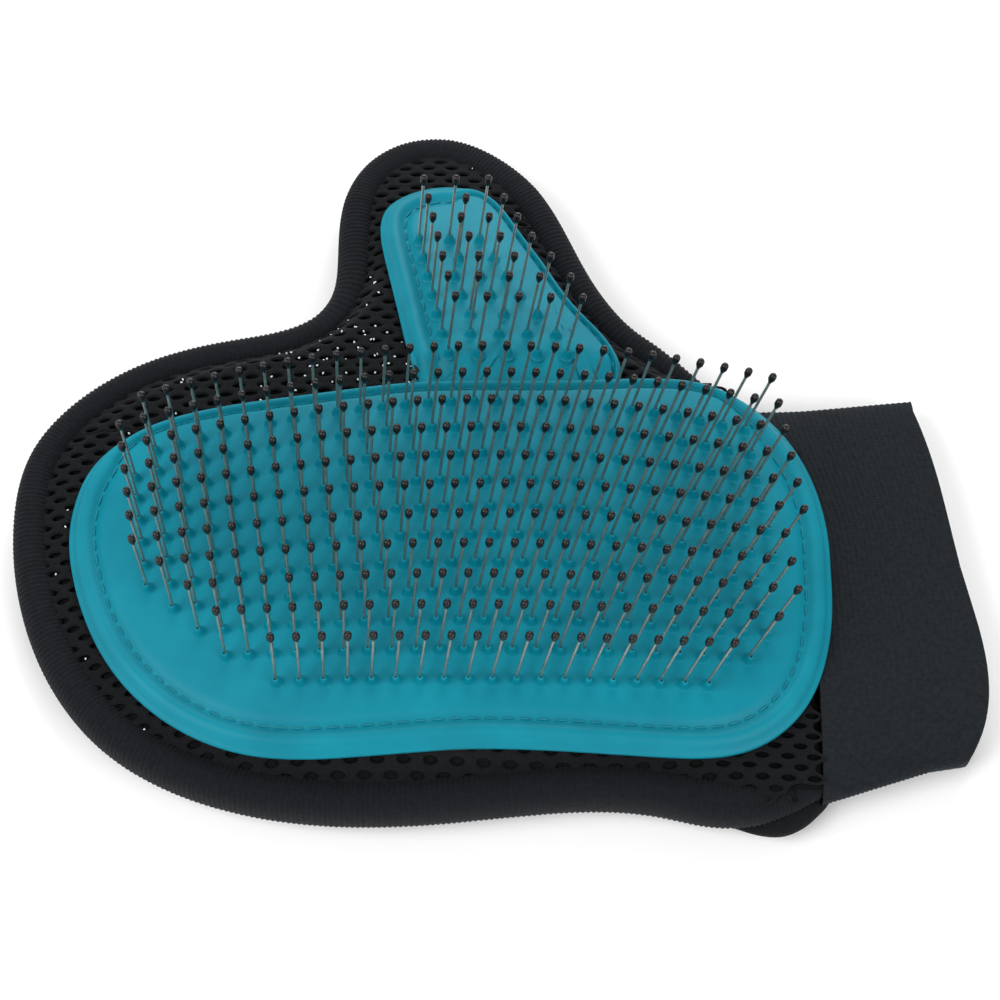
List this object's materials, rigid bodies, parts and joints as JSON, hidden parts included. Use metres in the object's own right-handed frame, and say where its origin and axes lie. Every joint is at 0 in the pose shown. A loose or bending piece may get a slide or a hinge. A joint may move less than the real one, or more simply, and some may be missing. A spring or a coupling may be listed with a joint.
{
  "type": "pet grooming mitt",
  "caption": "Mitt with two rubber pads of ball-tipped wire pins over the palm and thumb, a mesh body, a bound edge and an elastic cuff.",
  "frame": {"origin": "under the middle of the mitt, on the surface that its back lies on", "axes": "+X from the fingers to the wrist, +Y towards the thumb, +Z out of the palm, the way the pins point"},
  "size_m": [0.2361, 0.1936, 0.0482],
  "materials": {
    "pad_rubber": "moulded, satin",
    "pin_wire": "drawn wire",
    "pin_tip": "resin drops",
    "thread": "bonded sewing thread",
    "backing_cloth": "woven",
    "foam": "open foam",
    "lining_cloth": "warp knit",
    "air_mesh": "spacer knit with open holes",
    "binding_cloth": "ribbed knit",
    "cuff_elastic": "ribbed elastic webbing"
  },
  "bodies": {
    "hand": {"back_lining": "lining_cloth", "back_mesh": "air_mesh", "hand_binding": "binding_cloth", "hand_piping": "foam", "main_pad": "pad_rubber", "main_pad_backing": "backing_cloth", "main_pad_stitching": "thread", "main_pins_row_01": "pin_wire", "main_pins_row_02": "pin_wire", "main_pins_row_03": "pin_wire", "main_pins_row_04": "pin_wire", "main_pins_row_05": "pin_wire", "main_pins_row_06": "pin_wire", "main_pins_row_07": "pin_wire", "main_pins_row_08": "pin_wire", "main_pins_row_09": "pin_wire", "main_pins_row_10": "pin_wire", "main_pins_row_11": "pin_wire", "main_tips_row_01": "pin_tip", "main_tips_row_02": "pin_tip", "main_tips_row_03": "pin_tip", "main_tips_row_04": "pin_tip", "main_tips_row_05": "pin_tip", "main_tips_row_06": "pin_tip", "main_tips_row_07": "pin_tip", "main_tips_row_08": "pin_tip", "main_tips_row_09": "pin_tip", "main_tips_row_10": "pin_tip", "main_tips_row_11": "pin_tip", "palm_foam": "foam", "palm_lining": "lining_cloth", "palm_mesh": "air_mesh", "wrist_tape": "binding_cloth"},
    "thumb": {"thumb_back_lining": "lining_cloth", "thumb_back_mesh": "air_mesh", "thumb_binding": "binding_cloth", "thumb_foam": "foam", "thumb_lining": "lining_cloth", "thumb_mesh": "air_mesh", "thumb_pad": "pad_rubber", "thumb_pad_backing": "backing_cloth", "thumb_pad_stitching": "thread", "thumb_pins": "pin_wire", "thumb_piping": "foam", "thumb_tips": "pin_tip"},
    "cuff": {"cuff_inner": "cuff_elastic", "cuff_outer": "cuff_elastic"}
  },
  "joints": [
    {"name": "thumb_fold", "type": "hinge", "parent": "hand", "child": "thumb", "pos_m": [0, 0.0155, 0.0275], "axis": [1, 0, 0], "range_deg": [0, 12], "stiffness_Nm_per_rad": 0.15},
    {"name": "cuff_fold", "type": "hinge", "parent": "hand", "child": "cuff", "pos_m": [0.079, -0.035, 0.015], "axis": [0, -1, 0], "range_deg": [0, 30], "stiffness_Nm_per_rad": 0.08}
  ]
}
